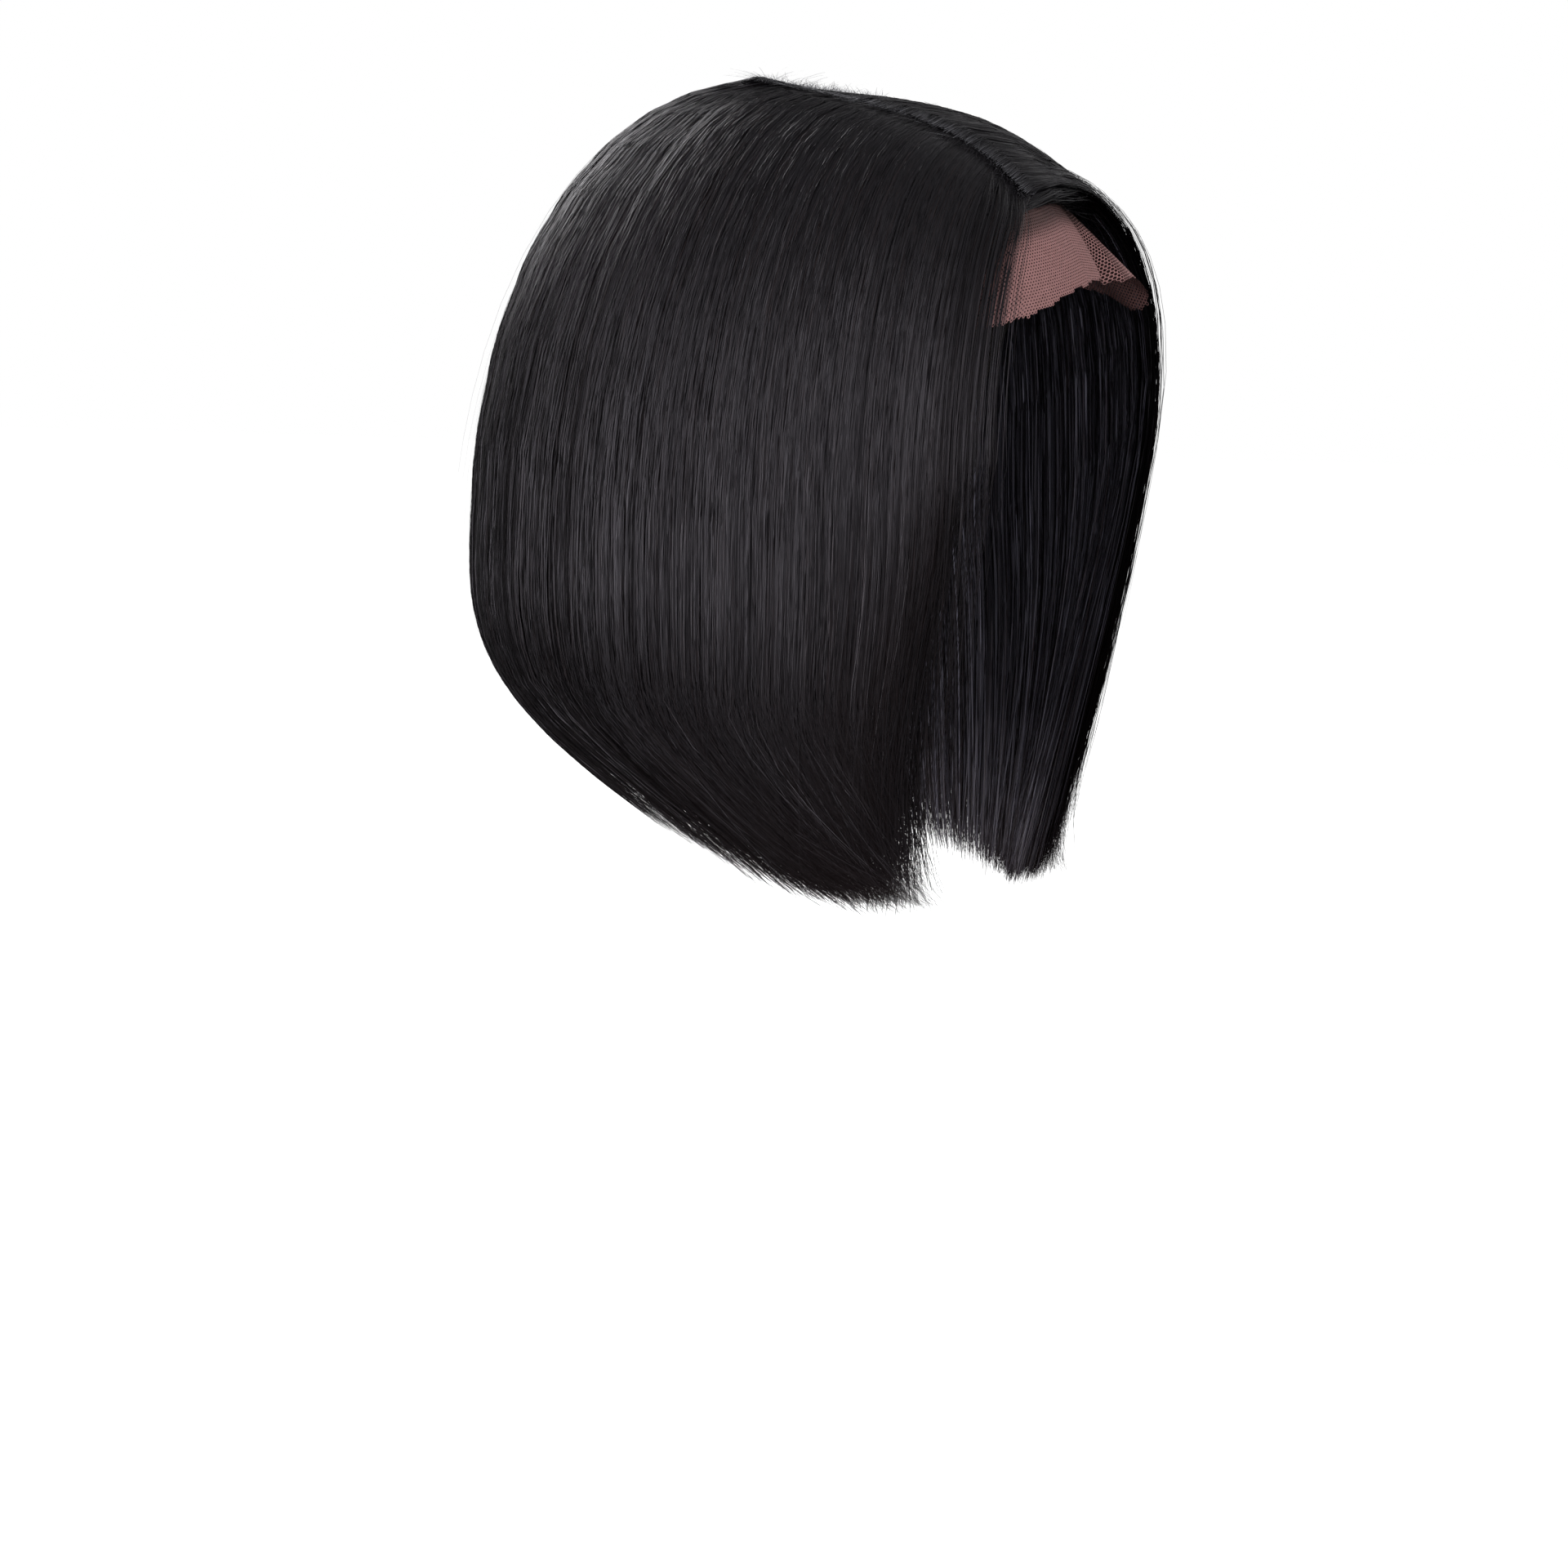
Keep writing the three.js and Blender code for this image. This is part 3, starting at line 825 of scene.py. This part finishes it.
def buildEdgeHairs(name, look):
    shape = edgeShape
    count = look["count"]
    around = np.abs(look["edge"] - look["within"] * draw.random(count))
    end = shape["longest"] - look["shorter"] * draw.random(count) ** shape["shorterPower"]
    run = strandSteps(np.full(count, shape["start"]), end, outerStrands["rows"])
    place = np.broadcast_to(around[:, None], run.shape)
    outward = hairOutward(place, run)
    ahead = look["ahead"] * draw.random(count) ** shape["aheadPower"]
    swing = sum(share * ease(low, high, run) for share, low, high in shape["swing"])
    path = hairForm(place, run) - outward * (shape["layer"] * draw.random(count))[:, None, None]
    path[..., 1] -= ahead[:, None] * swing - sway(run)
    path[..., 1] += look["retreat"] * ease(*shape["retreatRun"], run)
    path = sinkRoots(clearOfHead(path, shape["gap"]), run)
    width = strandWidth(shape, run / end[:, None])
    addStrands(f"{name}_edge", name, strandFinish, path, outward, width, draw.random(count))


for sectionName, look in edgeHairs.items():
    buildEdgeHairs(sectionName, look)
print("edge hairs done")

# Lace: a brown net of small round holes, flat to the right and pleated forward to the left.
lace = {
    "angle": [-52, -38, -25, -10, 2, 9, 13, 16, 20, 25, 33, 38, 43, 49, 56],
    "standOff": [0, 0, 0, 0.5, 1.5, 2.6, 1.6, 10, 13, 17, 24.5, 23, 16, 6, 0],
    "standOffPower": 1.4,
    "drop": [82, 75, 69.5, 62, 58.5, 58, 59, 58.5, 57.5, 58, 64.5, 70, 64, 61, 71],
    "seamGap": 0.9,
    "height": 0.5,
    "measures": (500, 60),  # points across and down
    "middle": 34,  # row along which its length is taken
    "pitch": 1.35,  # from hole to hole
    "firstRow": 0.6,
    "holeAngle": [-52, 9, 13, 19, 23, 30, 56],
    "hole": [0.42, 0.42, 0.74, 0.74, 0.42, 0.5, 0.6],  # hole's width as a share of its cell's
    "ragged": 0.35,
    "raggedWaves": [(1, 0.55, 0), (0.6, 1.7, 1), (0.4, 4.1, 0)],  # share, pace and shift of each
    "thread": (0.58, 0.3, 0.295, 1),
    "threadDark": (0.4, 0.21, 0.2, 1),
    "spotPace": 0.35,
    "spotShare": 0.8,
    "finePace": 3.5,
    "fineShare": 0.3,
    # painted shadow that the hair casts on the top of the lace
    "paintedHairShadow": (0.05, 0.036, 0.034, 1),
    "paintedShadowDown": 0.42,  # how far down the lace the painted shadow of the hair goes
    "paintedShadowEdge": 5,
    "paintedShadowShare": 0.8,
    "roughness": 0.75,
    "shine": 0.3,
}


def lacePoint(angle, run, height):
    held = np.clip(angle, lace["angle"][0], lace["angle"][-1])
    share = np.interp(held, lace["angle"], np.linspace(0, 1, len(lace["angle"])))
    standOff = np.maximum(curveThrough(lace["standOff"], share), 0)
    edge = curveThrough(lace["drop"], share)
    rim = np.interp(np.abs(angle), headForm["rimAngle"], headForm["rimDrop"]) + lace["seamGap"]
    points = headPoint(np.radians(angle), blend(rim, edge, run), height)
    points[..., 1] -= standOff * np.maximum(run, 0) ** lace["standOffPower"]
    return points


# How far along its middle each angle lies, how deep the lace is there, and its whole area.
def measureLace():
    columns, rows = lace["measures"]
    angles = np.linspace(lace["angle"][0], lace["angle"][-1], columns)
    surface = lacePoint(angles[:, None], np.linspace(0, 1, rows)[None, :], lace["height"])
    across, down = np.diff(surface, axis=0), np.diff(surface, axis=1)
    lengthAround = np.concatenate([[0], np.cumsum(np.linalg.norm(across[:, lace["middle"]], axis=1))])
    lengthDown = np.linalg.norm(down, axis=2).sum(1)
    area = np.linalg.norm(np.cross(across[:, :-1], down[:-1]), axis=-1).sum()
    return angles, lengthAround, lengthDown, area


# Middles of the six-sided cells on the flat lace, as far as its ragged cut edge, and the angle of each.
def laceCells(angles, lengthAround, lengthDown):
    pitch = lace["pitch"]
    rowStep = pitch * math.sqrt(3) / 2
    columns = int(lengthAround[-1] / pitch)
    rows = int((lengthDown.max() + 2) / rowStep)
    row, column = np.meshgrid(np.arange(rows), np.arange(columns), indexing="ij")
    across = (column + 0.5 * (row % 2) + 0.5) * pitch
    down = (row + lace["firstRow"]) * rowStep
    angle = np.interp(across, lengthAround, angles)
    waves = sum(share * np.sin(across * pace + shift) for share, pace, shift in lace["raggedWaves"])
    keep = down < np.interp(angle, angles, lengthDown) + lace["ragged"] * waves
    return np.stack([across[keep], down[keep]], -1)[:, None, :], angle[keep]


def buildLace():
    angles, lengthAround, lengthDown, area = measureLace()
    centres, centreAngle = laceCells(angles, lengthAround, lengthDown)
    corner = np.radians(np.arange(6) * 60 + 30)
    cell = np.stack([np.cos(corner), np.sin(corner)], -1) * lace["pitch"] / math.sqrt(3)
    hole = np.interp(centreAngle, lace["holeAngle"], lace["hole"])[:, None, None]
    outer = (centres + cell).reshape(-1, 2)
    inner = (centres + cell * hole).reshape(-1, 2)
    grain = lace["pitch"] * 0.01  # corners this close are one corner
    keys, index = np.unique(np.round(outer / grain).astype(int), axis=0, return_inverse=True)
    index = index.reshape(-1, 6)
    flat = np.concatenate([keys * grain, inner])
    innerIndex = len(keys) + np.arange(len(inner)).reshape(-1, 6)
    turn = np.roll(np.arange(6), -1)
    quads = np.stack([index, index[:, turn], innerIndex[:, turn], innerIndex], -1).reshape(-1, 4)
    angle = np.interp(flat[:, 0], lengthAround, angles)
    share = flat[:, 1] / np.interp(angle, angles, lengthDown)
    points = lacePoint(angle, share, lace["height"])
    mapPlace = onMap(np.stack([flat[:, 0] / lengthAround[-1], flat[:, 1] / flat[:, 1].max()], -1))
    values = {"laceAround": flat[:, 0], "laceDown": flat[:, 1], "laceShare": share}
    piece = meshFrom("lace_net", points, quads, values, mapPlace)
    settle(piece, laceFinish(), "lace_front")


def laceFinish():
    finish = newFinish("lace_net", Roughness=lace["roughness"], Specular_IOR_Level=lace["shine"])
    around, down = finish.read("laceAround"), finish.read("laceDown")
    spot = finish.noise(finish.place(around * lace["spotPace"], down * lace["spotPace"]))
    fine = finish.noise(finish.place(around * lace["finePace"], down * lace["finePace"]))
    light = smooth01(spot * lace["spotShare"] + fine * lace["fineShare"])
    colour = finish.mix(light, lace["threadDark"], lace["thread"])
    # Painted shadow of the hair: darker towards the top of the lace, broken up by fine noise
    paintedHairShadow = smooth01((lace["paintedShadowDown"] - finish.read("laceShare")) * lace["paintedShadowEdge"] + fine)
    finish.feed(Base_Color=finish.mix(paintedHairShadow * lace["paintedShadowShare"], colour, lace["paintedHairShadow"]))
    return finish


buildLace()

# Strands that grow from the lace along the hairline and rise to join the fall on either side.
hairline = {
    "hair_right": {"count": 110, "from": -8, "to": -44, "edge": 0.0, "fall": rightFall, "end": 1.5},
    "hair_left": {"count": 1300, "from": -18, "to": 38, "edge": 2.0, "fall": leftFall, "end": 1.92},
}
hairlineShape = {
    "anglePower": 1.4,
    "rootDepth": 0.28,  # how far down the lace the roots go
    "rootPower": 2.2,
    "rootAbove": 0.04,
    "rootHeight": 1.3,
    "within": 0.05,
    "outward": (0.001, 0.95),
    "endSpread": 0.06,
    "shorter": 0.3,
    "curl": (0.5, 1),
    "join": (0.25, 0.5),
    "layer": 4,
    "layerPower": 1.5,
    "layerRun": 0.3,
    "gap": 1.6,
    "width": 0.26,
    "widthRange": (0.6, 1.2),
    "taper": 0.8,
    "shade": 0.6,
}


def buildHairline(name, look):
    shape = hairlineShape
    count = look["count"]
    angle = blend(look["from"], look["to"], draw.random(count) ** shape["anglePower"])
    rootRun = shape["rootDepth"] * draw.random(count) ** shape["rootPower"] - shape["rootAbove"]
    root = lacePoint(angle, rootRun, shape["rootHeight"])
    around = np.abs(look["edge"] - shape["within"] * draw.random(count))
    widest = (look["edge"] - 1) * look["fall"]["out"][0]
    share = np.clip((root[:, 0] - parting["side"]) / (widest - parting["side"]), *shape["outward"])
    begin = np.arcsin(share ** (look["fall"]["full"][0] / 2)) * 2 / math.pi
    end = look["end"] + draw.normal(0, shape["endSpread"], count)
    end = end - shape["shorter"] * draw.random(count) ** 2
    reach = strandSteps(begin, end, outerStrands["rows"])
    place, run = strandFlow(around, reach, stayBack(count), draw.uniform(*shape["curl"], count))
    start = root - hairForm(around, begin)
    grown = run - begin[:, None]
    rising = 1 - ease(0, 1, grown / draw.uniform(*shape["join"], count)[:, None])
    outward = hairOutward(place, run)
    under = (shape["layer"] * draw.random(count) ** shape["layerPower"])[:, None]
    under = under * ease(0, shape["layerRun"], grown)
    path = hairForm(place, run) + start[:, None] * rising[..., None] - outward * under[..., None]
    path[..., 1] += sway(run)
    path = clearOfHead(path, shape["gap"])
    width = strandWidth(shape, reach / end[:, None])
    shade = shape["shade"] * draw.random(count)
    addStrands(f"{name}_hairline", name, strandFinish, path, outward, width, shade)


for sectionName, look in hairline.items():
    buildHairline(sectionName, look)
print("hairline done")

# Cap: dark stretch net with a bound edge.
cap = {
    "wall": 1.2,
    "columns": 120,
    "rows": 46,
    "firstRow": 0.001,
    "meanRadius": 86,
    "mapDepth": 160,
    "binding": 7,  # width of the bound edge
    "bindingEdge": 2,
    "mesh": 1.6,  # net pitch
    "dark": (0.012, 0.01, 0.009, 1),
    "light": (0.035, 0.028, 0.024, 1),
    "roughness": 0.85,
    "shine": 0.25,
    "bump": 0.5,
    "bumpDepth": 0.0004,  # in metres
}


def buildCap():
    columns = cap["columns"]
    angle = (np.arange(columns) / columns * 2 - 1) * math.pi
    rim = np.interp(np.abs(np.degrees(angle)), headForm["rimAngle"], headForm["rimDrop"])
    share = np.linspace(cap["firstRow"], 1, cap["rows"]) ** headForm["squareness"]
    drop = rim * share[:, None]
    outer, inner = (headPoint(angle[None, :], drop, offset) for offset in (cap["wall"], 0))
    ring = np.concatenate([outer, inner[::-1]], 0)
    drop = np.concatenate([drop, drop[::-1]], 0)
    values = {
        "capAround": np.broadcast_to(angle * cap["meanRadius"], drop.shape),
        "capDown": drop,
        "capEdge": rim - drop,
    }
    across = np.broadcast_to(np.linspace(0, 1, columns), drop.shape)
    mapPlace = onMap(np.stack([across, drop / cap["mapDepth"]], -1))
    piece = gridMesh("cap_net", ring[None], {k: v[None] for k, v in values.items()}, mapPlace, wrapped=True)
    settle(piece, capFinish(), "cap")


def capFinish():
    finish = newFinish("cap_net", Roughness=cap["roughness"], Specular_IOR_Level=cap["shine"])
    around, down = finish.read("capAround"), finish.read("capDown")
    turn = math.tau / cap["mesh"]
    rise = finish.maths("SINE", around * turn + down * turn)
    fall = finish.maths("SINE", around * turn - down * turn)
    thread = smooth01(rise * fall * 0.5 + 0.5)
    bound = 1 - smooth01((finish.read("capEdge") - cap["binding"]) * cap["bindingEdge"])
    colour = finish.mix(thread, cap["dark"], cap["light"])
    finish.feed(Base_Color=finish.mix(bound, colour, cap["dark"]))
    relief = {"Strength": cap["bump"], "Distance": cap["bumpDepth"], "Height": thread}
    finish.feed(Normal=finish.node("ShaderNodeBump", {}, relief))
    return finish


buildCap()
print("cap done")


def thinWidth(look, share):
    return np.broadcast_to(look["width"] * (1 - look["taper"] * share), (look["count"], look["rows"]))


# Loose hairs that stand off the outline.
looseHairs = {
    "count": 420,
    "rows": 12,
    "around": (0.02, 1.98),
    "aroundLimits": (0.005, 1.995),
    "begin": (0.03, 1.5),
    "length": (0.25, 0.9),
    "lowest": 1.98,
    "slant": 0.05,
    "reach": 7,
    "reachPower": 2.5,
    "wave": 0.3,
    "wavePace": (4, 9),
    "width": 0.14,
    "taper": 0.7,
}


def buildLoose():
    look = looseHairs
    count = look["count"]
    around = draw.uniform(*look["around"], count)
    begin = draw.uniform(*look["begin"], count)
    end = np.minimum(begin + draw.uniform(*look["length"], count), look["lowest"])
    run = strandSteps(begin, end, look["rows"])
    slant = draw.normal(0, look["slant"], count)[:, None] * (run - begin[:, None])
    place = np.clip(around[:, None] + slant, *look["aroundLimits"])
    outward = hairOutward(place, run)
    share = (run - begin[:, None]) / (end - begin)[:, None]
    lift = (look["reach"] * draw.random(count) ** look["reachPower"])[:, None] * share**2
    lift = lift + look["wave"] * ripples(run, *look["wavePace"])
    path = hairForm(place, run) + outward * lift[..., None]
    width = thinWidth(look, share)
    addStrands("hair_loose", "hair_back", strandFinish, path, outward, width, draw.random(count))


# Short hairs along the parting, coloured pale as a painted highlight. Some, as a fuzz, stand up at its
# back.
partHairs = {
    "count": 1300,
    "rows": 7,
    "around": 0.95,
    "along": (0, 0.92),
    "run": (0.004, 0.004),
    "length": (5, 18),
    "tilt": (0.1, 0.45),
    "leftShare": 0.5,
    "fuzzShare": 0.42,
    "fuzz": {  # lowest, commonest and highest
        "along": (0.42, 0.6, 0.8),
        "run": (0.003, 0.004, 0.09),
        "length": (2, 4, 9),
        "tilt": (0.1, 0.5, 1.1),
    },
    "backTilt": 0.2,  # more towards the back
    "heading": (0.25, 0.5),  # mean and spread
    "droop": 0.35,
    "width": 0.14,
    "taper": 0.6,
}


def buildPartHairs():
    look = partHairs
    count = look["count"]
    isFuzz = draw.random(count) < look["fuzzShare"]
    hand = np.where(isFuzz | (draw.random(count) < look["leftShare"]), 1, -1)

    def either(key):
        fuzz = draw.triangular(*look["fuzz"][key], count)
        return np.where(isFuzz, fuzz, draw.uniform(*look[key], count))

    along = either("along")
    around = np.where(hand < 0, look["around"] * along, 2 - look["around"] * along)
    start = hairForm(around, either("run"))
    length = either("length")
    tilt = either("tilt") + look["backTilt"] * along**3
    heading = draw.normal(*look["heading"], count)
    share = np.linspace(0, 1, look["rows"])[None, :]
    side = np.cos(heading) * hand * np.cos(tilt)
    step = np.stack([side, np.sin(heading) * np.cos(tilt), np.sin(tilt)], -1)
    path = start[:, None] + step[:, None] * (length[:, None] * share)[..., None]
    path[..., 2] -= (look["droop"] * length * tilt)[:, None] * share**2
    outward = np.broadcast_to(np.array([0, 0, 1.0]), path.shape)
    width = thinWidth(look, share)
    addStrands("hair_parting", "hair_right", partingHighlightFinish, path, outward, width, draw.random(count))


# Short hairs that lie on the lace below the hairline and turn to either side.
browHairs = {
    "count": 170,
    "rows": 7,
    "angle": (-34, 16),
    "middle": -10,  # angle where they part
    "run": (0.02, 0.16),
    "length": (6, 17),
    "laceDepth": 48,
    "slowing": 0.35,
    "turn": 2,
    "turnSpread": 9,
    "turnPower": 1.5,
    "height": 0.8,
    "arch": 1.2,
    "centre": (0, 0, -60.0),
    "shade": 0.3,
    "width": 0.14,
    "taper": 0.7,
}


def buildBrowHairs():
    look = browHairs
    count = look["count"]
    angle = draw.uniform(*look["angle"], count)
    begin = draw.uniform(*look["run"], count)
    length = draw.uniform(*look["length"], count)
    share = np.linspace(0, 1, look["rows"])[None, :]
    turn = np.sign(angle - look["middle"]) * (look["turn"] + look["turnSpread"] * draw.random(count))
    angle = angle[:, None] + turn[:, None] * share ** look["turnPower"]
    run = begin[:, None] + (length / look["laceDepth"])[:, None] * share * (1 - look["slowing"] * share)
    path = lacePoint(angle, run, look["height"] + look["arch"] * np.sin(math.pi * share))
    outward = unit(path - np.array(look["centre"]))
    shade = look["shade"] * draw.random(count)
    addStrands("hair_brow", "hair_left", strandFinish, path, outward, thinWidth(look, share), shade)


buildLoose()
buildPartHairs()
buildBrowHairs()
print("loose hairs done")

# The camera stands where the photograph was taken from: to the wig's right, level with its crown.
view = {
    "azimuth": -67,
    "elevation": 8,
    "lens": 100,
    "sensor": 36,
    "pictureSize": 1920,
    "originAt": (1033, 146),  # picture point of the crown
    "pixelsPerMm": 3.35,
}


def viewAxes():
    turn, tilt = math.radians(view["azimuth"]), math.radians(view["elevation"])
    away = Vector((math.sin(turn) * math.cos(tilt), -math.cos(turn) * math.cos(tilt), math.sin(tilt)))
    right = Vector((math.cos(turn), math.sin(turn), 0))
    return right, away.cross(right), away


def buildCamera():
    right, up, away = viewAxes()
    middle = view["pictureSize"] / 2
    scale = view["pixelsPerMm"] / mm
    aside = (middle - view["originAt"][0]) / scale
    above = (view["originAt"][1] - middle) / scale
    distance = view["lens"] / view["sensor"] * view["pictureSize"] / scale
    lens = bpy.data.cameras.new("camera")
    lens.lens = view["lens"]
    lens.sensor_width = view["sensor"]
    holder = bpy.data.objects.new("camera", lens)
    axes = Matrix((right, up, away)).transposed().to_4x4()
    holder.matrix_world = Matrix.Translation(right * aside + up * above + away * distance) @ axes
    bpy.context.scene.collection.objects.link(holder)
    bpy.context.scene.camera = holder


# Pale floor and white surround, with soft light from both sides.
studio = {
    "floorLevel": -0.53,
    "floorSize": 12,
    "floorColour": (0.95, 0.95, 0.95, 1),
    "floorRoughness": 0.9,
    "floorGlow": 0.8,
    "backdrop": 1.0,  # strength of the white surround
    "ambient": (0.06, 0.24),  # and of the dimmer light that it gives, from below and from above
    "ambientRise": 0.6,
    "aim": (0, 0, -0.13),
    "lights": {  # place, size and power
        "key": ((-1.9, 0.7, 0.3), 1.5, 16),
        "fill": ((-1.2, -1.9, 0.6), 1.6, 20),
        "low": ((-1.2, 0.9, -0.25), 0.5, 4.3),
        "left": ((1.9, -0.2, 0.6), 1.5, 4.2),
        "rim": ((0.9, 1.8, 1.2), 1.4, 36),
    },
}


def buildSurround():
    surround = Finish(bpy.data.worlds.new("surround"), "BACKGROUND")
    seen = surround.node("ShaderNodeLightPath", output="Is Camera Ray")
    heading = surround.node("ShaderNodeTexCoord", output="Generated")
    height = surround.node("ShaderNodeSeparateXYZ", {}, {0: heading}, output="Z")
    low, high = studio["ambient"]
    ambient = low + smooth01(height + studio["ambientRise"]) * (high - low)
    strength = seen * studio["backdrop"] + (1 - seen) * ambient
    surround.feed(Color=(1, 1, 1, 1), Strength=strength)
    bpy.context.scene.world = surround.owner


def buildFloor():
    half = studio["floorSize"] / 2 / mm
    level = studio["floorLevel"] / mm
    corners = np.array([[x * half, y * half, level] for x, y in ((-1, -1), (1, -1), (1, 1), (-1, 1))])
    floor = meshFrom("floor", corners, np.array([[0, 1, 2, 3]]), {})
    finish = newFinish("floor", Base_Color=studio["floorColour"], Roughness=studio["floorRoughness"])
    finish.feed(Emission_Color=(1, 1, 1, 1), Emission_Strength=studio["floorGlow"])
    floor.data.materials.append(finish.owner)
    floor.visible_glossy = False  # the floor is seen, but black hair doesn't mirror it
    floor.visible_diffuse = False


def buildLights():
    for name, (place, size, power) in studio["lights"].items():
        lamp = bpy.data.lights.new(name, "AREA")
        lamp.size = size
        lamp.energy = power
        holder = bpy.data.objects.new(name, lamp)
        holder.location = place
        aim = Vector(studio["aim"]) - holder.location
        holder.rotation_euler = aim.to_track_quat("-Z", "Y").to_euler()
        bpy.context.scene.collection.objects.link(holder)
    bpy.context.scene.view_settings.view_transform = "Standard"


buildSurround()
buildFloor()
buildLights()
buildCamera()
print("studio and camera done")
